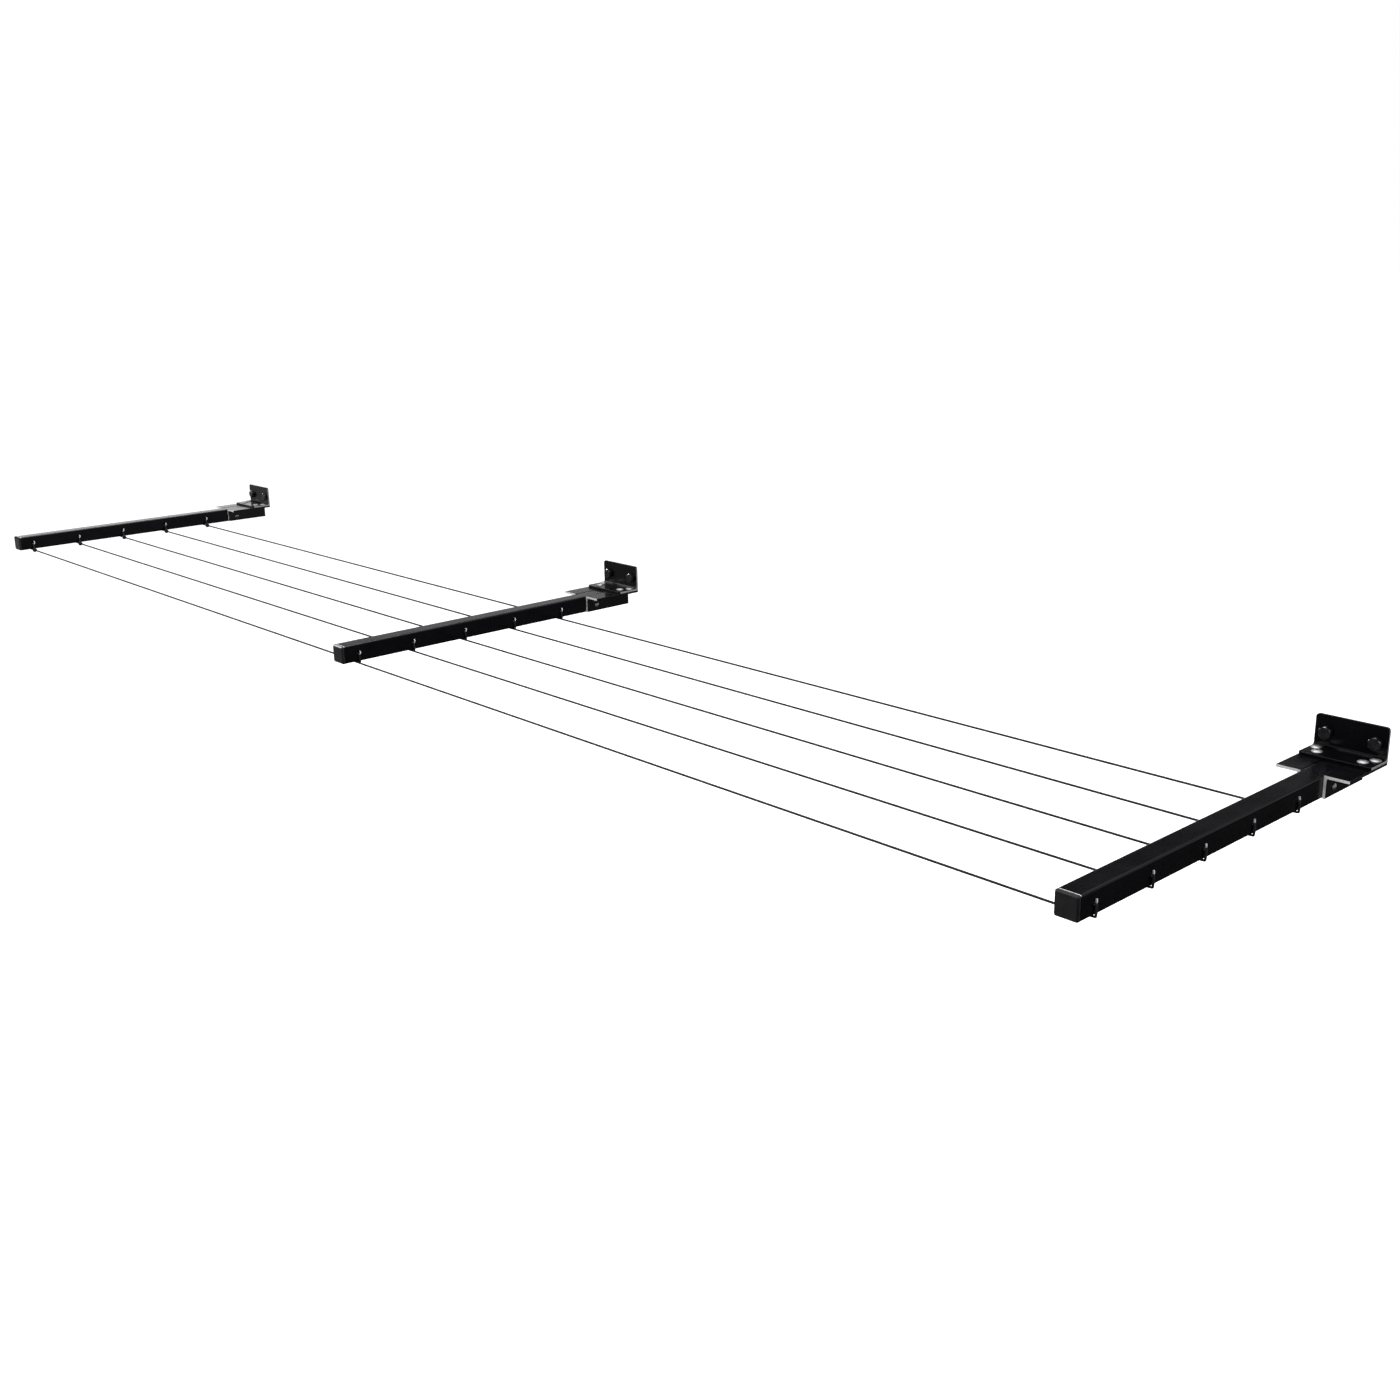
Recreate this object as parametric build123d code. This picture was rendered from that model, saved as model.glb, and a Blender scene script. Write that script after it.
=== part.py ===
from build123d import *
import os

# Wall-mounted fold-up clothes airer: three square-tube arms on hinged wall brackets,
# tied together by five lines that run along the wall.
# X runs along the wall, the arms point to -Y, +Z is up, and the wall face is the plane Y = 0.
# The origin is midway between the centre bracket's two wall bolts, on the wall face.

# Stations
BAY = 1200.0                     # from one arm to the next
STATIONS = {"left": -BAY, "centre": 0.0, "right": BAY}
SIDES = {"left": -1, "right": 1}
BOLT_RISE = 18.5                 # wall bolts above the seat
SEAT_Z = -BOLT_RISE              # underside of the bracket's flange

# Wall bracket: an equal angle
BRACKET_WIDTH = 80.0
BRACKET_LEG = 38.0
SHEET = 3.0                      # thickness of every angle
BRACKET_CORNER = 4.0
BRACKET_FOLD = 2.5
EDGE_BREAK = 0.4                 # the coating rounds the long edges this much
BOLT_SPACING = 54.0
BOLT_HOLE_R = 4.5

# Wall bolts, fully threaded M8, with the thread left plain
BOLT_R = 4.0
BOLT_NECK_R = 3.6                # the thin neck under the head, as long as the plate is thick
BOLT_FLATS = 13.0
BOLT_CORNER_R = BOLT_FLATS / 3 ** 0.5
BOLT_HEAD = 5.3
BOLT_STUB = 4.5                  # how far the shank stands out behind the wall face
BOLT_CHAMFER = 0.9

# Arm: square tube with an end cap
TUBE = 25.0
TUBE_WALL = 1.5
TUBE_CORNER = 2.0
SEAT_GAP = 0.2                   # between the arm's top and the flange
ARM_TAIL = 3.5                   # from the wall face to the arm's rear end
ARM_REACH = 516.0                # from the wall face to the front of the cap
CAP_PLATE = 4.0
CAP_CHAMFER = 1.6
CAP_SEAM = 0.4
CAP_PLUG = 12.0
CAP_PLUG_GAP = 0.15
CAP_PLUG_WALL = 2.0
ARM_TOP = SEAT_Z - SEAT_GAP
ARM_MID = ARM_TOP - TUBE / 2
ARM_BOTTOM = ARM_TOP - TUBE

# Cheeks: angles riveted under the flange, one each side of the arm
CHEEK_GAP = 0.3
CHEEK_INNER = TUBE / 2 + CHEEK_GAP
CHEEK_OUTER = BRACKET_WIDTH / 2
CHEEK_DROP = 25.0
CHEEK_FRONT = 84.0
CHEEK_BACK = 0.5
CHEEK_FOLD = 1.5

# Flange rivets, as (distance from the arm's middle, distance from the wall face)
RIVET_PLACES = [(32.5, 12.0), (25.0, 25.0)]
RIVET_R = 3.0
RIVET_HEAD_R = 6.0
RIVET_HEAD = 2.2
RIVET_RIM = 0.4
RIVET_DIMPLE_R = 1.6
RIVET_DIMPLE = 0.4
RIVET_TAIL_R = 4.5
RIVET_TAIL = 1.6

# Pivot
PIVOT_Y = -65.5
PIVOT_Z = SEAT_Z - 16.2
PIN_R = 2.4
PIN_BORE_R = 2.45
PIN_HEAD_R = 3.9
PIN_HEAD = 2.0
PIN_RIM = 0.5

# Lines
LINE_COUNT = 5
LINE_NEAREST = 134.5             # from the wall face to the line nearest it
LINE_PITCH = 89.0
LINE_PLACES = [LINE_NEAREST + LINE_PITCH * (LINE_COUNT - 1 - i) for i in range(LINE_COUNT)]
LINE_HOLE_R = 3.0
CORD_R = 1.25
CORD_OFF = 1.6                   # from the cord's middle to the face that it lies along
HOLE_OFF = 1.9                   # from the cord's middle to the bottom of the hole
TURN_OFFSET = 1.4                # the round turn's two passes lie this far each side of the hole
HOLE_BEND = 2.0                  # the cord's bend over a hole's rim
HOLE_CUT = 1.2                   # each bend has two corners, this far from where its runs would meet
EDGE_BEND = 2.0                  # the cord's bend round the tube's lower edge
EDGE_CUT = 1.2
CORD_LOW = ARM_BOTTOM - CORD_OFF
CORD_HIGH = ARM_MID - LINE_HOLE_R + HOLE_OFF
FACE = TUBE / 2 + CORD_OFF       # from the arm's middle to the cord on its side face
KNOT_OUT = 6.5                   # from the arm's face to the knot's middle
TIE = TUBE / 2 + 6.0             # from the arm's middle to the cord's end, inside the knot
KNOT_RISE = 0.6
KNOT_LENGTH = 9.0
KNOT_R = 3.4
TAIL_IN = 2.8                    # the tail ends this far above the standing line


def across(radius, length, x, y, z):
    """A round bar along X, centred there."""
    return Pos(x, y, z) * Rot(0, 90, 0) * Cylinder(radius, length)


def wall_bracket():
    plate = Pos(0, -SHEET / 2, SEAT_Z + BRACKET_LEG / 2) * Box(BRACKET_WIDTH, SHEET, BRACKET_LEG)
    flange = Pos(0, -BRACKET_LEG / 2, SEAT_Z + SHEET / 2) * Box(BRACKET_WIDTH, BRACKET_LEG, SHEET)
    body = plate + flange
    fold_line = Pos(0, -SHEET, SEAT_Z + SHEET) * Vertex(0, 0, 0)
    body = fillet(body.edges().filter_by(Axis.X).sort_by_distance(fold_line)[0], BRACKET_FOLD)
    top_corners = body.edges().filter_by(Axis.Y).group_by(Axis.Z)[-1]
    body = fillet(top_corners, BRACKET_CORNER)
    front_corners = body.edges().filter_by(Axis.Z).group_by(Axis.Y)[0]
    body = fillet(front_corners, BRACKET_CORNER)
    body = fillet(body.faces().sort_by(Axis.Z)[-1].edges(), EDGE_BREAK)
    body = fillet(body.faces().sort_by(Axis.Y)[0].edges(), EDGE_BREAK)
    for side in SIDES.values():
        hole = Pos(side * BOLT_SPACING / 2, 0, 0) * Rot(90, 0, 0) * Cylinder(BOLT_HOLE_R, 4 * SHEET)
        body -= hole
        for x, y in RIVET_PLACES:
            body -= Pos(side * x, -y, SEAT_Z + SHEET / 2) * Cylinder(RIVET_R, 2 * SHEET)
    return body


def is_outer(place):
    """True for the long edges at the two ends of a cheek's L."""
    at_tip = place.X > CHEEK_OUTER - 0.01
    at_foot = place.Z < SEAT_Z - CHEEK_DROP + 0.01
    return at_tip or at_foot


def cheek(side):
    length = CHEEK_FRONT - CHEEK_BACK
    middle = -(CHEEK_FRONT + CHEEK_BACK) / 2
    width = CHEEK_OUTER - CHEEK_INNER
    top = Pos(CHEEK_INNER + width / 2, middle, SEAT_Z - SHEET / 2) * Box(width, length, SHEET)
    leg = Pos(CHEEK_INNER + SHEET / 2, middle, SEAT_Z - CHEEK_DROP / 2) * Box(SHEET, length, CHEEK_DROP)
    body = top + leg
    fold_line = Vertex(CHEEK_INNER + SHEET, middle, SEAT_Z - SHEET)
    body = fillet(body.edges().filter_by(Axis.Y).sort_by_distance(fold_line)[0], CHEEK_FOLD)
    long_edges = [edge for edge in body.edges().filter_by(Axis.Y) if edge.length > length - 1]
    body = fillet([edge for edge in long_edges if is_outer(edge.center())], EDGE_BREAK)
    for x, y in RIVET_PLACES:
        body -= Pos(x, -y, SEAT_Z) * Cylinder(RIVET_R, 3 * SHEET)
    body -= across(PIN_R, 3 * TUBE, 0, PIVOT_Y, PIVOT_Z)
    return body if side > 0 else mirror(body, Plane.YZ)


def dome(radius, height, rim):
    """A low domed head that stands on Z = 0."""
    rise = height - rim
    ball_r = (radius ** 2 + rise ** 2) / (2 * rise)
    disc = Pos(0, 0, height / 2) * Cylinder(radius, height)
    return disc & Pos(0, 0, height - ball_r) * Sphere(ball_r)


def flange_rivet():
    head = dome(RIVET_HEAD_R, RIVET_HEAD, RIVET_RIM)
    head -= Pos(0, 0, RIVET_HEAD) * Cylinder(RIVET_DIMPLE_R, 2 * RIVET_DIMPLE)
    shank = Pos(0, 0, -SHEET) * Cylinder(RIVET_R, 2 * SHEET)
    tail = Pos(0, 0, -2 * SHEET) * Rot(180, 0, 0) * dome(RIVET_TAIL_R, RIVET_TAIL, RIVET_RIM)
    return Pos(0, 0, SEAT_Z + SHEET) * (head + shank + tail)


def flange_rivets():
    return [Pos(side * x, -y, 0) * flange_rivet() for side in SIDES.values() for x, y in RIVET_PLACES]


def wall_bolt():
    """Its axis is Z here, with the head's underside at Z = 0 and the shank below it."""
    blank = extrude(RegularPolygon(BOLT_CORNER_R, 6, rotation=30), BOLT_HEAD)
    crown = Pos(0, 0, BOLT_HEAD / 2) * Cone(
        BOLT_CORNER_R + BOLT_HEAD, BOLT_CORNER_R - BOLT_CHAMFER, BOLT_HEAD)
    neck = Pos(0, 0, -SHEET / 2) * Cylinder(BOLT_NECK_R, SHEET)
    thread = Pos(0, 0, -SHEET - BOLT_STUB / 2) * Cylinder(BOLT_R, BOLT_STUB)
    thread = chamfer(thread.edges().group_by(Axis.Z)[0], BOLT_CHAMFER)
    return (blank & crown) + neck + thread


def wall_bolts():
    bolt = Pos(0, -SHEET, 0) * Rot(90, 0, 0) * wall_bolt()
    return [Pos(side * BOLT_SPACING / 2, 0, 0) * bolt for side in SIDES.values()]


def pivot_pin():
    reach = CHEEK_INNER + SHEET
    shank = Cylinder(PIN_R, 2 * reach)
    head = Pos(0, 0, reach) * dome(PIN_HEAD_R, PIN_HEAD, PIN_RIM)
    far_head = Rot(180, 0, 0) * head
    return Pos(0, PIVOT_Y, PIVOT_Z) * Rot(0, 90, 0) * (shank + head + far_head)


def square_bar(width, corner, front, back):
    """A square bar along Y on the arm's middle line, from -front to -back."""
    outline = Plane.XZ * RectangleRounded(width, width, corner)
    return Pos(0, -back, ARM_MID) * extrude(outline, front - back)


def arm_tube():
    front = ARM_REACH - CAP_PLATE
    body = square_bar(TUBE, TUBE_CORNER, front, ARM_TAIL)
    bore = TUBE - 2 * TUBE_WALL
    body -= square_bar(bore, TUBE_CORNER - TUBE_WALL, front + 1, ARM_TAIL - 1)
    for place in LINE_PLACES:
        body -= across(LINE_HOLE_R, 2 * TUBE, 0, -place, ARM_MID)
    body -= across(PIN_BORE_R, 2 * TUBE, 0, PIVOT_Y, PIVOT_Z)
    return body


def end_cap():
    tube_end = ARM_REACH - CAP_PLATE
    plate = square_bar(TUBE, TUBE_CORNER, ARM_REACH, tube_end + CAP_SEAM)
    plate = chamfer(plate.faces().sort_by(Axis.Y)[0].edges(), CAP_CHAMFER)
    bore = TUBE - 2 * TUBE_WALL
    plug_width = bore - 2 * CAP_PLUG_GAP
    neck = square_bar(TUBE - TUBE_WALL, TUBE_CORNER, tube_end + CAP_SEAM, tube_end)
    plug = square_bar(plug_width, TUBE_CORNER / 2, tube_end, tube_end - CAP_PLUG)
    pocket = plug_width - 2 * CAP_PLUG_WALL
    plug -= square_bar(pocket, TUBE_CORNER / 4, tube_end, tube_end - CAP_PLUG - 1)
    return plate + neck + plug


def over_rim(x, side):
    """Two corners where the cord bends over a hole's rim, from the face inwards."""
    return [(x + side * FACE, CORD_HIGH - HOLE_CUT), (x + side * (FACE - HOLE_CUT), CORD_HIGH)]


def under_edge(x, side):
    """Two corners where the cord bends round the tube's lower edge, from the face inwards."""
    return [(x + side * FACE, CORD_LOW + EDGE_CUT), (x + side * (FACE - EDGE_CUT), CORD_LOW)]


def line_route(y):
    """One line's corners, with the bend at each: tied to the left arm, round the centre arm
    once through its hole, and tied to the right arm."""
    ends = [(-BAY + TIE, y, CORD_LOW + TAIL_IN)]
    steps = [(over_rim(-BAY, 1), 0, HOLE_BEND)]
    steps += [(reversed(over_rim(-BAY, -1)), 0, HOLE_BEND)]
    steps += [(under_edge(-BAY, -1), 0, EDGE_BEND)]
    steps += [(reversed(under_edge(0, 1)), TURN_OFFSET, EDGE_BEND)]
    steps += [(over_rim(0, 1), 0, HOLE_BEND)]
    steps += [(reversed(over_rim(0, -1)), 0, HOLE_BEND)]
    steps += [(under_edge(0, -1), -TURN_OFFSET, EDGE_BEND)]
    steps += [(reversed(under_edge(BAY, 1)), 0, EDGE_BEND)]
    steps += [(over_rim(BAY, 1), 0, HOLE_BEND)]
    steps += [(reversed(over_rim(BAY, -1)), 0, HOLE_BEND)]
    corners = [(x, y + shift, z) for pair, shift, bend in steps for x, z in pair]
    bends = [bend for pair, shift, bend in steps for turn in range(2)]
    return ends + corners + [(BAY - TIE, y, CORD_LOW + TAIL_IN)], bends


def cord(y):
    points, bends = line_route(y)
    path = FilletPolyline(*points, radius=bends)
    start = Plane(origin=path @ 0, z_dir=path % 0)
    return sweep(start * Circle(CORD_R), path=path), path.length, bends


def knot(side, y, line):
    """A hitch round the standing line, with the line's own way through it left open."""
    x = side * (BAY - TUBE / 2 - KNOT_OUT)
    ball = Pos(x, y, CORD_LOW + KNOT_RISE) * scale(Sphere(KNOT_R), by=(KNOT_LENGTH / 2 / KNOT_R, 1, 1))
    return ball - line


def write(name, *solids):
    shape = solids[0] if len(solids) == 1 else Compound(children=solids)
    shape.label = name
    export_step(shape, f"parts/{name}.step")


os.makedirs("parts", exist_ok=True)
bracket = wall_bracket()
cheeks = {name: cheek(side) for name, side in SIDES.items()}
pin = pivot_pin()
tube = arm_tube()
cap = end_cap()
for station, x in STATIONS.items():
    write(f"{station}_wall_bracket", Pos(x, 0, 0) * bracket)
    for name, body in cheeks.items():
        write(f"{station}_cheek_{name}", Pos(x, 0, 0) * body)
    write(f"{station}_flange_rivets", *[Pos(x, 0, 0) * rivet for rivet in flange_rivets()])
    write(f"{station}_wall_bolts", *[Pos(x, 0, 0) * bolt for bolt in wall_bolts()])
    write(f"{station}_pivot_pin", Pos(x, 0, 0) * pin)
    write(f"{station}_arm_tube", Pos(x, 0, 0) * tube)
    write(f"{station}_end_cap", Pos(x, 0, 0) * cap)

for number, place in enumerate(LINE_PLACES, start=1):
    line, length, bends = cord(-place)
    write(f"line_{number}", line)
    for name, side in SIDES.items():
        write(f"line_{number}_{name}_knot", knot(side, -place, line))
    section = 3.141592653589793 * CORD_R ** 2
    print(f"line {number}: {length:.1f} mm, volume {line.volume:.1f}, section x length "
          f"{section * length:.1f}, bends {bends}")
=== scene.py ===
import bpy
import bmesh
import math
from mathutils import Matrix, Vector


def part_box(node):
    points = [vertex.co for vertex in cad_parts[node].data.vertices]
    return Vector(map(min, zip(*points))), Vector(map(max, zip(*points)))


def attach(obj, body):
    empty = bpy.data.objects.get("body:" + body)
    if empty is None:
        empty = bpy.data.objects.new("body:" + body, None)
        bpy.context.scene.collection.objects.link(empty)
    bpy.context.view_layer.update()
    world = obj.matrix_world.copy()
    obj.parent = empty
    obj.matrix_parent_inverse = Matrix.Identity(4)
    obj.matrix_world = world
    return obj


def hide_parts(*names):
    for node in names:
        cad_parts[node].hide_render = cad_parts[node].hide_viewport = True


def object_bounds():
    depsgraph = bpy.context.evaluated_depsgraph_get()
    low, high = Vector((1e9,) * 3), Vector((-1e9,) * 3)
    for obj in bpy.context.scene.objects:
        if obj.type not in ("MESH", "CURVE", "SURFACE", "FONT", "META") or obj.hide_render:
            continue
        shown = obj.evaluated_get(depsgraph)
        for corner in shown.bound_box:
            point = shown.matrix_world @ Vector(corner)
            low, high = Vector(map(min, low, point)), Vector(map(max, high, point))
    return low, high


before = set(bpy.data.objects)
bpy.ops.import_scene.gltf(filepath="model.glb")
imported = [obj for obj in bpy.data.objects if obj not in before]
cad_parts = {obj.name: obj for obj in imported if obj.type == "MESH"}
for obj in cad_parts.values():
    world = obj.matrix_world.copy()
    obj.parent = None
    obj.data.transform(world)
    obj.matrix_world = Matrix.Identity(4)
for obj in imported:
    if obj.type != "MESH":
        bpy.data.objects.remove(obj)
cad_low, cad_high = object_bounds()
D = bpy.data
scene = bpy.context.scene

# Everything is in metres in the row frame: X along the wall, arms to -Y, Z up.
STATIONS = ("left", "centre", "right")


def middle_x(station):
    low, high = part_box(station + "_arm_tube")
    return (low[0] + high[0]) / 2


tube_low, tube_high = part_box("centre_arm_tube")
ARM_MID = (tube_low[2] + tube_high[2]) / 2
ARM_HALF = (tube_high[2] - tube_low[2]) / 2
BAY = middle_x("right") - middle_x("centre")
line_ys = []
for n in range(1, 6):
    low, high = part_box("line_%d" % n)
    line_ys.append((low[1] + high[1]) / 2)
PITCH = line_ys[4] - line_ys[3]

# ---------------------------------------------------------------- camera
camera = D.objects.new("camera", D.cameras.new("camera"))
scene.collection.objects.link(camera)
camera.location = (1.89896, -1.57197, 0.52329)
camera.rotation_euler = (math.radians(73.4108), math.radians(0.9578), math.radians(47.2665))
camera.data.lens = 40.422
camera.data.sensor_width = 36.0
camera.data.clip_start = 0.01
camera.data.clip_end = 200.0
scene.camera = camera
scene.view_settings.view_transform = "Standard"

# ---------------------------------------------------------------- lines
CORD_D = 0.0025
RUN_Z = -45.3                               # the height of the long straight runs, millimetres
# The line's route, as x, distance in front of its own holes, z, in millimetres.
ROUTE = [
    (-1181.5, 0.0, -42.5),
    (-1185.9, 0.0, -33.5), (-1187.1, 0.0, -32.3),
    (-1212.9, 0.0, -32.3), (-1214.1, 0.0, -33.5),
    (-1214.1, 0.0, -44.1), (-1212.9, 0.0, -45.3),
    (-1172.5, 0.0, -45.3),
    (-27.5, 1.4, -45.3),
    (12.9, 1.4, -45.3), (14.1, 1.4, -44.1),
    (14.1, 0.0, -33.5), (12.9, 0.0, -32.3),
    (-12.9, 0.0, -32.3), (-14.1, 0.0, -33.5),
    (-14.1, -1.4, -44.1), (-12.9, -1.4, -45.3),
    (27.5, -1.4, -45.3),
    (1172.5, 0.0, -45.3),
    (1212.9, 0.0, -45.3), (1214.1, 0.0, -44.1),
    (1214.1, 0.0, -33.5), (1212.9, 0.0, -32.3),
    (1187.1, 0.0, -32.3), (1185.9, 0.0, -33.5),
    (1181.5, 0.0, -42.5),
]


CORD_SIDES = 12
CORD_RESOLUTION = 8                         # steps in each span of the spline
CAP_ANGLES = (0.5, 1.0, 1.4)                # the rings that round a tube's ends, radians from its last ring
SAME_PLACE = 0.00001                        # points nearer than this are one point
# the hitch at each end of a line
HITCH_R = 0.00238                           # from the line's middle to the wraps' middle
HITCH_SWELL = 0.10                          # the wraps bulge this much in the middle
HITCH_CORD_R = 0.00115                      # drawn tight, so a little thinner than the line
HITCH_TURNS = 2.35
HITCH_STEPS = 64
HITCH_START = -0.0036
HITCH_LENGTH = 0.0056
HITCH_FIRST = math.radians(100)
HITCH_SIDES = 10
HITCH_RESOLUTION = 3
# the riding turn back over the wraps and the cut tail: along, across, up
HITCH_TAIL = [
    (0.0032, -0.0027, 0.0010), (0.0020, -0.0032, 0.0027), (-0.0005, -0.0020, 0.0039),
    (-0.0027, 0.0005, 0.0044), (-0.0036, 0.0024, 0.0034),
]


def smooth_points(points, resolution):
    """The NURBS spline that has these control points, as a list of points."""
    curve = D.curves.new("route", "CURVE")
    curve.dimensions = "3D"
    spline = curve.splines.new("NURBS")
    spline.points.add(len(points) - 1)
    for point, place in zip(spline.points, points):
        point.co = (place[0], place[1], place[2], 1.0)
    spline.order_u = 3
    spline.use_endpoint_u = True
    spline.resolution_u = resolution
    holder = D.objects.new("route", curve)
    mesh = D.meshes.new_from_object(holder)
    found = [v.co.copy() for v in mesh.vertices]
    D.objects.remove(holder)
    D.curves.remove(curve)
    D.meshes.remove(mesh)
    kept = found[:1]
    for p in found[1:]:
        if (p - kept[-1]).length > SAME_PLACE:
            kept.append(p)
    return kept


def tube_mesh(name, path, radius, sides):
    """A round-ended tube along path, with UVs in millimetres along and turns around."""
    bm = bmesh.new()
    uv = bm.loops.layers.uv.new("UVMap")
    tangents = []
    for i in range(len(path)):
        a = path[max(i - 1, 0)]
        b = path[min(i + 1, len(path) - 1)]
        tangents.append((b - a).normalized())
    side = Vector((0, 1, 0)) if abs(tangents[0].y) < 0.9 else Vector((0, 0, 1))
    side = (side - tangents[0] * side.dot(tangents[0])).normalized()
    stations = []
    run = 0.0
    for i, p in enumerate(path):
        if i:
            run += (p - path[i - 1]).length
            side = (side - tangents[i] * side.dot(tangents[i])).normalized()
        stations.append((p, tangents[i], side.copy(), run, radius))
    for end in (0, -1):
        p, t, s, r, w = stations[end]
        out = -t if end == 0 else t
        caps = [(p + out * radius * math.sin(a), t, s, r, radius * math.cos(a)) for a in CAP_ANGLES]
        stations = caps[::-1] + stations if end == 0 else stations + caps
    rings = []
    for p, t, s, r, w in stations:
        other = t.cross(s)
        ring = []
        for k in range(sides):
            a = 2 * math.pi * k / sides
            ring.append(bm.verts.new(p + (s * math.cos(a) + other * math.sin(a)) * w))
        rings.append(ring)
    for i in range(len(rings) - 1):
        for k in range(sides):
            m = (k + 1) % sides
            face = bm.faces.new((rings[i][k], rings[i][m], rings[i + 1][m], rings[i + 1][k]))
            face.smooth = True
            us = (stations[i][3], stations[i][3], stations[i + 1][3], stations[i + 1][3])
            vs = (k, k + 1, k + 1, k)
            for loop, u, v in zip(face.loops, us, vs):
                loop[uv].uv = (u * 1000.0, v / sides)
    for ring, flip in ((rings[0], True), (rings[-1], False)):
        face = bm.faces.new(ring[::-1] if flip else ring)
        face.smooth = True
    mesh = D.meshes.new(name)
    bm.normal_update()
    bm.to_mesh(mesh)
    bm.free()
    piece = D.objects.new(name, mesh)
    scene.collection.objects.link(piece)
    return piece


def hitch_path(out, y, x0, z0):
    """Two wraps round the standing line, a riding turn and a short cut tail. out is the way
    along X from the arm to the line's free span."""
    pts = []
    for i in range(HITCH_STEPS + 1):
        f = i / HITCH_STEPS
        a = HITCH_FIRST - f * HITCH_TURNS * 2 * math.pi
        along = HITCH_START + HITCH_LENGTH * f
        swell = HITCH_R * (1.0 + HITCH_SWELL * math.sin(math.pi * f))
        pts.append(Vector((x0 + out * along, y + swell * math.cos(a), z0 + swell * math.sin(a))))
    for along, dy, dz in HITCH_TAIL:
        pts.append(Vector((x0 + out * along, y + dy, z0 + dz)))
    return pts


lines = []
hitches = []
for n in range(1, 6):
    y = line_ys[n - 1]
    control = [Vector((x / 1000, y + dy / 1000, z / 1000)) for x, dy, z in ROUTE]
    path = smooth_points(control, CORD_RESOLUTION)
    line = tube_mesh("drying_line_%d" % n, path, CORD_D / 2, CORD_SIDES)
    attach(line, "centre_arm")
    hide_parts("line_%d" % n)
    for side, out in (("left", 1), ("right", -1)):
        node = "line_%d_%s_knot" % (n, side)
        low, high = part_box(node)
        points = hitch_path(out, y, (low[0] + high[0]) / 2, RUN_Z / 1000)
        smooth = smooth_points(points, HITCH_RESOLUTION)
        hitch = tube_mesh("hitch_%d_%s" % (n, side), smooth, HITCH_CORD_R, HITCH_SIDES)
        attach(hitch, "centre_arm")
        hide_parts(node)
        hitches.append(hitch)
    lines.append(line)


# ---------------------------------------------------------------- materials
class Nodes:
    """A short way to write a node material."""

    def __init__(self, name):
        self.mat = D.materials.new(name)
        self.mat.use_nodes = True
        self.tree = self.mat.node_tree
        self.tree.nodes.clear()
        self.out = self.tree.nodes.new("ShaderNodeOutputMaterial")
        self.bsdf = self.tree.nodes.new("ShaderNodeBsdfPrincipled")
        self.link(self.bsdf.outputs["BSDF"], self.out.inputs["Surface"])
        self.coord = self.tree.nodes.new("ShaderNodeTexCoord")
        self.object = self.coord.outputs["Object"]
        self.normal = self.coord.outputs["Normal"]
        self.uv = self.coord.outputs["UV"]

    def link(self, a, b):
        self.tree.links.new(a, b)

    def put(self, socket, value):
        if isinstance(value, bpy.types.NodeSocket):
            self.link(value, socket)
        elif value is not None:
            socket.default_value = value

    def math(self, op, a, b=None, clamp=False):
        node = self.tree.nodes.new("ShaderNodeMath")
        node.operation = op
        node.use_clamp = clamp
        for i, value in enumerate((a, b)):
            self.put(node.inputs[i], value)
        return node.outputs[0]

    def split(self, vector):
        node = self.tree.nodes.new("ShaderNodeSeparateXYZ")
        self.link(vector, node.inputs[0])
        return node.outputs

    def join(self, x, y, z):
        node = self.tree.nodes.new("ShaderNodeCombineXYZ")
        for i, value in enumerate((x, y, z)):
            self.put(node.inputs[i], value)
        return node.outputs[0]

    def noise(self, vector, scale, detail, rough):
        node = self.tree.nodes.new("ShaderNodeTexNoise")
        self.link(vector, node.inputs["Vector"])
        node.inputs["Scale"].default_value = scale
        node.inputs["Detail"].default_value = detail
        node.inputs["Roughness"].default_value = rough
        return node.outputs[0]

    def span(self, value, a, b, c=0.0, d=1.0):
        """The value moved from a..b to c..d, and held inside c..d."""
        node = self.tree.nodes.new("ShaderNodeMapRange")
        self.link(value, node.inputs["Value"])
        for name, v in (("From Min", a), ("From Max", b), ("To Min", c), ("To Max", d)):
            node.inputs[name].default_value = v
        return node.outputs["Result"]

    def mix(self, factor, a, b):
        node = self.tree.nodes.new("ShaderNodeMix")
        node.data_type = "RGBA"
        self.put(node.inputs[0], factor)
        for socket, value in ((node.inputs[6], a), (node.inputs[7], b)):
            if isinstance(value, tuple):
                value = (*value, 1.0) if len(value) == 3 else value
            self.put(socket, value)
        return node.outputs[2]

    def blend(self, factor, a, b):
        """Number a where factor is 0, b where it is 1."""
        node = self.tree.nodes.new("ShaderNodeMix")
        self.put(node.inputs[0], factor)
        self.put(node.inputs[2], a)
        self.put(node.inputs[3], b)
        return node.outputs[0]

    def scaled(self, vector, factors):
        node = self.tree.nodes.new("ShaderNodeVectorMath")
        node.operation = "MULTIPLY"
        self.link(vector, node.inputs[0])
        node.inputs[1].default_value = factors
        return node.outputs[0]

    def bump(self, height, distance, strength):
        node = self.tree.nodes.new("ShaderNodeBump")
        node.inputs["Strength"].default_value = strength
        node.inputs["Distance"].default_value = distance
        self.link(height, node.inputs["Height"])
        return node.outputs[0]

    def done(self, **values):
        names = {"color": "Base Color", "rough": "Roughness", "metal": "Metallic", "normal": "Normal",
                 "specular": "Specular IOR Level", "sheen": "Sheen Weight",
                 "glow": "Emission Strength"}
        for key, value in values.items():
            if isinstance(value, tuple):
                value = (*value, 1.0)
            self.put(self.bsdf.inputs[names[key]], value)
        return self.mat


def station_x(m, x):
    """X measured from the nearest arm's middle."""
    f = m.math("FRACT", m.math("DIVIDE", m.math("ADD", x, BAY * 2.5), BAY))
    return m.math("MULTIPLY", m.math("SUBTRACT", f, 0.5), BAY)


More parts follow.
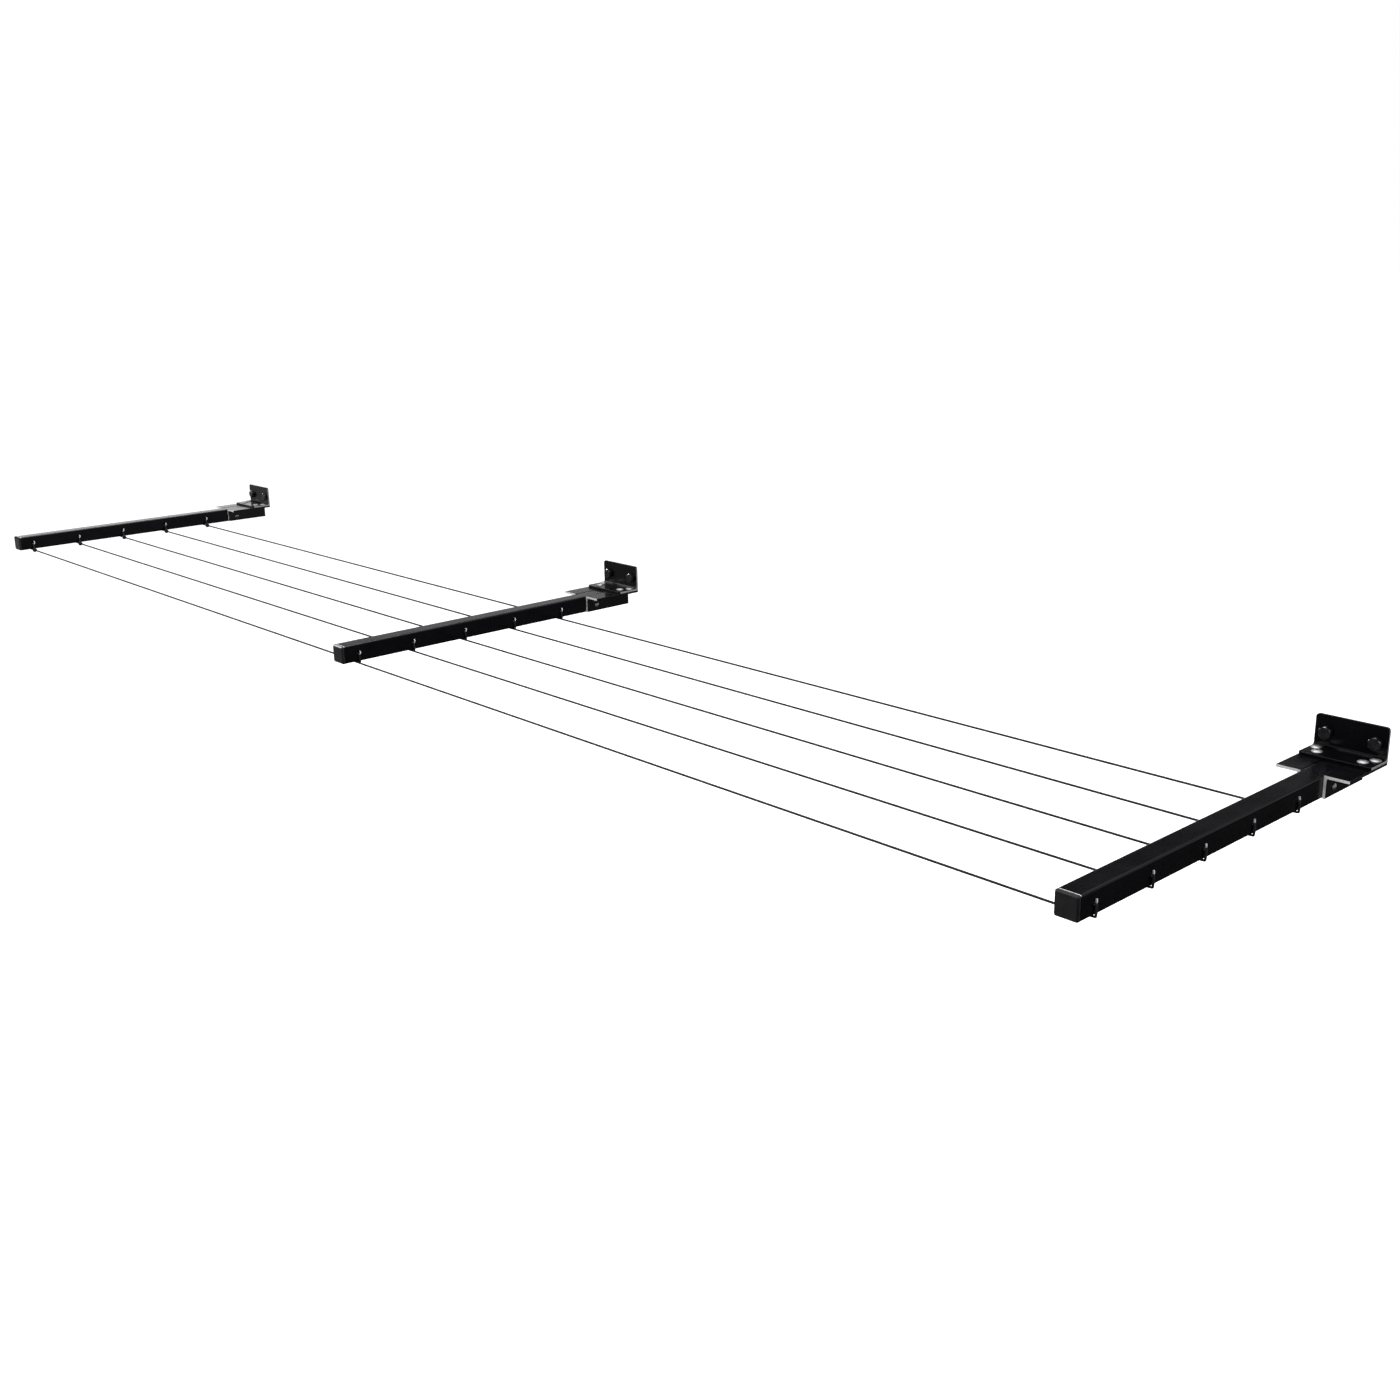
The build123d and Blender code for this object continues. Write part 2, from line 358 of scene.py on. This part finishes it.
COAT_DARK = (0.0009, 0.0009, 0.0014)
COAT_LIGHT = (0.0018, 0.0018, 0.0025)
COAT_DUST = (0.010, 0.010, 0.012)
COAT_ROUGH = (0.155, 0.205)
COAT_GLOSS = 0.30
SAW_DEPTH = 0.00002
BARE_DARK = (0.56, 0.56, 0.55)
BARE_LIGHT = (0.78, 0.78, 0.76)
BARE_ROUGH = (0.36, 0.54)
BARE_METAL = 0.50                           # how far the cut metal reads as a mirror, against a matt grey
COAT_GRAIN = 0.18                           # how strongly the coat's grain and the saw marks bump the surface


def powder(m):
    """Black powder coat: its colour, roughness and fine pebbled height."""
    cloud = m.noise(m.object, 24.0, 4.0, 0.6)
    grain = m.noise(m.object, 1500.0, 2.0, 0.6)
    color = m.mix(m.span(cloud, 0.3, 0.7), COAT_DARK, COAT_LIGHT)
    dust = m.span(m.noise(m.object, 420.0, 5.0, 0.75), 0.66, 0.80)
    color = m.mix(m.math("MULTIPLY", dust, 0.15), color, COAT_DUST)
    rough = m.span(cloud, 0.2, 0.8, *COAT_ROUGH)
    return color, rough, grain


def bare(m, stretch):
    """Sawn or drilled aluminium: its colour and roughness, with saw marks stretched that way."""
    marks = m.noise(m.scaled(m.object, stretch), 1.0, 3.0, 0.7)
    patch = m.noise(m.object, 260.0, 3.0, 0.6)
    color = m.mix(m.span(patch, 0.3, 0.7), BARE_DARK, BARE_LIGHT)
    rough = m.span(marks, 0.3, 0.7, *BARE_ROUGH)
    return color, rough, marks


def coated_metal(name, mask_of, stretch, gloss_of=None, fresh=0.0):
    """Powder coat with bare metal where the mask is 1. fresh is how far that metal is newly cut
    and bright."""
    m = Nodes(name)
    color, rough, grain = powder(m)
    raw_color, raw_rough, marks = bare(m, stretch)
    raw_color = m.mix(fresh, raw_color, (1.0, 1.0, 1.0))
    mask = mask_of(m)
    height = m.math("ADD", m.math("MULTIPLY", grain, m.math("SUBTRACT", 1.0, mask)),
                    m.math("MULTIPLY", marks, mask))
    return m.done(color=m.mix(mask, color, raw_color), rough=m.blend(mask, rough, raw_rough),
                  metal=m.math("MULTIPLY", mask, BARE_METAL), normal=m.bump(height, SAW_DEPTH, COAT_GRAIN),
                  specular=gloss_of(m) if gloss_of else COAT_GLOSS)


def worn(m, mask):
    """The mask's edge broken up a little, as a coating is beside a cut."""
    return m.math("MULTIPLY", mask, m.span(m.noise(m.object, 700.0, 3.0, 0.7), 0.20, 0.34), clamp=True)


def bracket_mask(m):
    """The angle's sawn ends, partly coated over."""
    n = m.split(m.normal)
    thin = m.span(m.math("ABSOLUTE", n[0]), 0.80, 0.92, 0.0, 0.28)
    return worn(m, thin)


def fold_gloss(m):
    """The coat is duller inside the fold, where it lies thickest."""
    n = m.split(m.normal)
    fold = m.math("MULTIPLY", m.math("ABSOLUTE", n[1]), m.math("ABSOLUTE", n[2]))
    return m.span(fold, 0.08, 0.35, COAT_GLOSS, 0.10)


def side_gloss(m):
    """The coat is duller on the arm's sides than on its top."""
    n = m.split(m.normal)
    return m.span(m.math("ABSOLUTE", n[0]), 0.60, 0.95, COAT_GLOSS, 0.16)


def cheek_mask(m):
    """The cheeks' sawn ends, left bare."""
    n = m.split(m.normal)
    return worn(m, m.span(m.math("ABSOLUTE", n[1]), 0.80, 0.92))


WALL_IN, WALL_OUT = 0.0017, 0.0014          # the side walls lie this far in from the tube's face
HOLE_R = 0.0030
HOLE_R_REACH = 0.0031                       # takes in the hole's wall and none of the face
CRESCENT = 0.0012                           # the painted highlight crescent reaches this far beyond the hole
RIM_SAW = 0.0013                            # and the saw draws it back from the front rim as far as this, along the rim's top only, as a painted highlight


def tube_mask(m):
    """The drilled holes' walls and the sawn rear end, with painted highlights: a crescent beside each hole
    and the top of the sawn front rim.
    """
    n = m.split(m.normal)
    p = m.split(m.object)
    x = m.math("ABSOLUTE", station_x(m, p[0]))
    steps = m.math("DIVIDE", m.math("SUBTRACT", p[1], line_ys[0] - PITCH / 2), PITCH)
    y = m.math("MULTIPLY", m.math("SUBTRACT", m.math("FRACT", steps), 0.5), PITCH)
    z = m.math("SUBTRACT", p[2], ARM_MID)
    r = m.math("SQRT", m.math("ADD", m.math("POWER", y, 2.0), m.math("POWER", z, 2.0)))
    in_wall = m.span(x, ARM_HALF - WALL_IN, ARM_HALF - WALL_OUT)
    along = m.math("LESS_THAN", m.math("ABSOLUTE", n[0]), 0.5)
    wall = m.math("MULTIPLY", m.math("MULTIPLY", in_wall, along), m.math("LESS_THAN", r, HOLE_R_REACH))
    rear = m.math("GREATER_THAN", n[1], 0.7)
    # the sawn front rim, where the coating has drawn back from the cut beside the cap, left bare only on its
    # upward-facing top as a painted highlight
    ragged = m.math("MULTIPLY", m.noise(m.object, 420.0, 3.0, 0.7), RIM_SAW)
    rim = m.math("LESS_THAN", m.math("SUBTRACT", p[1], tube_low[1]), m.math("ADD", ragged, 0.0001))
    rim = m.math("MULTIPLY", rim, m.math("GREATER_THAN", n[2], 0.6))
    # painted highlight: whitened bare metal in a crescent on the wallward, lower side of each hole, on its
    # wall and on the face beside it
    toward = m.span(m.math("DIVIDE", m.math("SUBTRACT", y, m.math("MULTIPLY", z, 0.3)), HOLE_R), 0.35, 1.0)
    reach = m.math("ADD", m.math("MULTIPLY", toward, CRESCENT), HOLE_R)
    painted_crescent = m.math("MULTIPLY", m.math("LESS_THAN", r, reach), m.math("GREATER_THAN", toward, 0.02))
    painted_crescent = m.math("MULTIPLY", painted_crescent, in_wall)
    return m.math("MAXIMUM", m.math("MAXIMUM", wall, painted_crescent), m.math("MAXIMUM", rim, rear), clamp=True)


# the last tuple stretches the saw marks, in marks per metre
bracket_mat = coated_metal("bracket_black", bracket_mask, (200.0, 200.0, 3200.0), gloss_of=fold_gloss)
cheek_mat = coated_metal("cheek_black", cheek_mask, (3000.0, 150.0, 260.0))
arm_mat = coated_metal("arm_black", tube_mask, (2600.0, 400.0, 400.0), gloss_of=side_gloss, fresh=0.75)


RIVET_PLACES = ((0.0325, 0.012), (0.025, 0.025))     # from the arm's middle, from the wall
DIMPLE_R, DIMPLE_FLAT_R = 0.0018, 0.0014
RIVET_R, RIVET_CROWN_R = 0.0060, 0.0052
# painted shade: the grey of each rivet's dimple and of its head's outer rim
DIMPLE_GREY = (0.05, 0.05, 0.05)
RIM_GREY = (0.12, 0.12, 0.12)


def aluminium(name, dark, light, low, high, dimple=None):
    """Brushed aluminium. When dimple gives the heads' places, painted shade darkens the dimple in the
    middle of each head and the head's outer rim."""
    m = Nodes(name)
    cloud = m.noise(m.object, 160.0, 4.0, 0.6)
    scratch = m.noise(m.scaled(m.object, (2600.0, 380.0, 380.0)), 1.0, 3.0, 0.7)
    color = m.mix(m.span(cloud, 0.3, 0.7), dark, light)
    if dimple:
        p = m.split(m.object)
        x = m.math("ABSOLUTE", station_x(m, p[0]))
        nearest = None
        for cx, cy in dimple:
            dx = m.math("SUBTRACT", x, cx)
            dy = m.math("ADD", p[1], cy)
            r = m.math("SQRT", m.math("ADD", m.math("POWER", dx, 2.0), m.math("POWER", dy, 2.0)))
            nearest = r if nearest is None else m.math("MINIMUM", nearest, r)
        # painted shade in the dimple's recess
        inside = m.span(nearest, DIMPLE_R, DIMPLE_FLAT_R)
        color = m.mix(m.math("MULTIPLY", inside, 0.8), color, DIMPLE_GREY)
        # painted shade round the head's outer rim
        rim = m.span(nearest, RIVET_CROWN_R, RIVET_R, 0.0, 0.35)
        color = m.mix(rim, color, RIM_GREY)
    return m.done(color=color, rough=m.span(scratch, 0.3, 0.7, low, high), metal=1.0,
                  normal=m.bump(scratch, 0.00003, 0.6))


rivet_mat = aluminium("rivet_bright", (0.25, 0.25, 0.25), (0.33, 0.33, 0.33), 0.44, 0.56,
                      dimple=RIVET_PLACES)
pin_mat = aluminium("pin_bright", (0.24, 0.24, 0.25), (0.42, 0.42, 0.43), 0.30, 0.46)


def black_oxide():
    """Oiled black steel, with a painted highlight in light grey along the upper part of each head's chamfer.
    """
    m = Nodes("bolt_black")
    cloud = m.noise(m.object, 210.0, 4.0, 0.6)
    grain = m.noise(m.object, 2200.0, 2.0, 0.6)
    n = m.split(m.normal)
    # painted highlight: the upward-facing part of each head's chamfer, broken up by noise, turned light grey
    facing = m.math("ABSOLUTE", n[1])
    chamfer_highlight = m.math("MULTIPLY", m.span(facing, 0.35, 0.50), m.span(facing, 0.97, 0.90))
    chamfer_highlight = m.math("MULTIPLY", chamfer_highlight, m.span(n[2], 0.15, 0.40))
    chamfer_highlight = m.math("MULTIPLY", chamfer_highlight, m.span(m.noise(m.object, 330.0, 2.0, 0.6), 0.36, 0.52))
    color = m.mix(m.span(cloud, 0.3, 0.7), (0.020, 0.020, 0.023), (0.045, 0.045, 0.050))
    return m.done(color=m.mix(chamfer_highlight, color, (0.62, 0.62, 0.62)), rough=m.span(cloud, 0.25, 0.75, 0.24, 0.36),
                  metal=0.80, normal=m.bump(grain, 0.00002, 0.5), specular=0.5)


def moulded():
    """Satin moulded plastic, smoother on the plate's bevel."""
    m = Nodes("cap_plastic")
    cloud = m.noise(m.object, 120.0, 3.0, 0.6)
    grain = m.noise(m.object, 2600.0, 2.0, 0.5)
    flow = m.noise(m.scaled(m.object, (90.0, 20.0, 260.0)), 1.0, 2.0, 0.5)
    color = m.mix(m.span(cloud, 0.3, 0.7), (0.0045, 0.0043, 0.0050), (0.0075, 0.0072, 0.0082))
    height = m.math("ADD", m.math("MULTIPLY", grain, 0.7), m.math("MULTIPLY", flow, 0.3))
    facing = m.math("ABSOLUTE", m.split(m.normal)[1])
    bevel = m.math("MULTIPLY", m.span(facing, 0.4, 0.5), m.span(facing, 0.95, 0.85))
    return m.done(color=color, rough=m.blend(bevel, m.span(flow, 0.3, 0.7, 0.36, 0.47), 0.13),
                  normal=m.bump(height, 0.00003, 0.35), specular=0.42)


BRAID_PITCH = 1.5                           # millimetres
BRAID_STRANDS = 6.0


def braid():
    """Braided cord: two sets of strands that cross, from UVs in millimetres and turns."""
    m = Nodes("cord_black")
    p = m.split(m.uv)
    along = m.math("MULTIPLY", p[0], 1.0 / BRAID_PITCH)
    around = m.math("MULTIPLY", p[1], BRAID_STRANDS)
    one = m.math("FRACT", m.math("ADD", along, around))
    two = m.math("FRACT", m.math("SUBTRACT", along, around))
    ridge_one = m.math("SINE", m.math("MULTIPLY", one, math.pi))
    ridge_two = m.math("SINE", m.math("MULTIPLY", two, math.pi))
    over = m.math("GREATER_THAN", m.math("SINE", m.math("MULTIPLY", along, 2 * math.pi)), 0.0)
    ridge = m.blend(over, ridge_one, ridge_two)
    fuzz = m.noise(m.object, 3800.0, 2.0, 0.6)
    height = m.math("ADD", m.math("MULTIPLY", ridge, 0.85), m.math("MULTIPLY", fuzz, 0.15))
    # painted shade: the grooves between the strands are darker than the strands' crowns
    color = m.mix(m.span(ridge, 0.0, 1.0), (0.0012, 0.0012, 0.0014), (0.0070, 0.0070, 0.0076))
    return m.done(color=color, rough=m.span(ridge, 0.0, 1.0, 0.85, 0.55),
                  normal=m.bump(height, 0.00010, 0.8), specular=0.25, sheen=0.02)


bolt_mat = black_oxide()
cap_mat = moulded()
cord_mat = braid()


def dress(node, mat):
    """Give every part of a CAD node this material."""
    part = D.objects[node]
    if not part.material_slots:
        part.data.materials.append(mat)
    for s in part.material_slots:
        s.material = mat


for station in STATIONS:
    dress(station + "_wall_bracket", bracket_mat)
    dress(station + "_cheek_left", cheek_mat)
    dress(station + "_cheek_right", cheek_mat)
    dress(station + "_flange_rivets", rivet_mat)
    dress(station + "_wall_bolts", bolt_mat)
    dress(station + "_pivot_pin", pin_mat)
    dress(station + "_arm_tube", arm_mat)
    dress(station + "_end_cap", cap_mat)
for piece in lines + hitches:
    piece.data.materials.append(cord_mat)

# ---------------------------------------------------------------- floor
FLOOR_Z = cad_low[2] - 1.2                  # the floor lies 1.2 m below the airer
FLOOR_R = 55
FLOOR_SIDES = 64
FLOOR_GLOW = 0.32                           # hides the horizon against the white studio
bm = bmesh.new()
ring = []
for k in range(FLOOR_SIDES):
    a = 2 * math.pi * k / FLOOR_SIDES
    ring.append(bm.verts.new((FLOOR_R * math.cos(a), FLOOR_R * math.sin(a), FLOOR_Z)))
bm.faces.new(ring)
mesh = D.meshes.new("floor")
bm.to_mesh(mesh)
bm.free()
floor = D.objects.new("floor", mesh)
scene.collection.objects.link(floor)
fm = Nodes("floor_pale")
shade = fm.noise(fm.object, 0.8, 2.0, 0.5)
pale = fm.mix(fm.span(shade, 0.3, 0.7), (0.92, 0.92, 0.92), (0.93, 0.93, 0.93))
floor.data.materials.append(fm.done(color=pale, rough=0.9, specular=0.1, glow=FLOOR_GLOW))
floor.visible_glossy = False

# ---------------------------------------------------------------- light
world = D.worlds.new("studio")
scene.world = world
world.use_nodes = True
tree = world.node_tree
tree.nodes.clear()
out = tree.nodes.new("ShaderNodeOutputWorld")
coord = tree.nodes.new("ShaderNodeTexCoord")
sep = tree.nodes.new("ShaderNodeSeparateXYZ")
tree.links.new(coord.outputs["Generated"], sep.inputs[0])
ramp = tree.nodes.new("ShaderNodeValToRGB")
shift = tree.nodes.new("ShaderNodeMath")
shift.operation = "MULTIPLY_ADD"
shift.inputs[1].default_value = 0.5
shift.inputs[2].default_value = 0.5
tree.links.new(sep.outputs[2], shift.inputs[0])
tree.links.new(shift.outputs[0], ramp.inputs[0])
# brightness by height, as the sine of the elevation and the level there
STUDIO_STRENGTH = 1.6
LEVELS = [(-1.0, 0.02), (-0.27, 0.03), (-0.18, 0.14), (-0.02, 0.50), (0.04, 1.00), (0.16, 0.95),
          (0.205, 0.18), (0.25, 0.010), (0.48, 0.010), (0.64, 0.60), (1.0, 0.90)]
while len(ramp.color_ramp.elements) < len(LEVELS):
    ramp.color_ramp.elements.new(0.5)
for e, (h, level) in zip(ramp.color_ramp.elements, LEVELS):
    e.position = h * 0.5 + 0.5
    e.color = (level, level, level * 1.02, 1.0)
soft = tree.nodes.new("ShaderNodeBackground")
tree.links.new(ramp.outputs[0], soft.inputs["Color"])
soft.inputs["Strength"].default_value = STUDIO_STRENGTH
plain = tree.nodes.new("ShaderNodeBackground")
plain.inputs["Color"].default_value = (1.0, 1.0, 1.0, 1.0)
plain.inputs["Strength"].default_value = 1.0
path_node = tree.nodes.new("ShaderNodeLightPath")
pick = tree.nodes.new("ShaderNodeMixShader")
tree.links.new(path_node.outputs["Is Camera Ray"], pick.inputs[0])
tree.links.new(soft.outputs[0], pick.inputs[1])
tree.links.new(plain.outputs[0], pick.inputs[2])
tree.links.new(pick.outputs[0], out.inputs["Surface"])


def softbox(name, place, aim, width, height, power):
    """An area light at place that faces aim, in metres and watts, unseen by the camera."""
    light = D.lights.new(name, "AREA")
    light.shape = "RECTANGLE"
    light.size, light.size_y = width, height
    light.energy = power
    box = D.objects.new(name, light)
    box.location = place
    box.rotation_euler = (Vector(aim) - Vector(place)).to_track_quat("-Z", "Y").to_euler()
    box.visible_camera = False
    scene.collection.objects.link(box)
    return box


softbox("left_softbox", (-3.4, -2.2, 2.8), (0.0, -0.3, 0.0), 2.6, 1.6, 120.0)
softbox("top_softbox", (0.4, 0.6, 4.2), (0.3, -0.2, 0.0), 4.0, 2.4, 170.0)
fill = softbox("fill_softbox", (-2.5, -1.7, 0.3), (-0.3, -0.08, -0.03), 0.9, 0.9, 34.0)
fill.visible_glossy = False
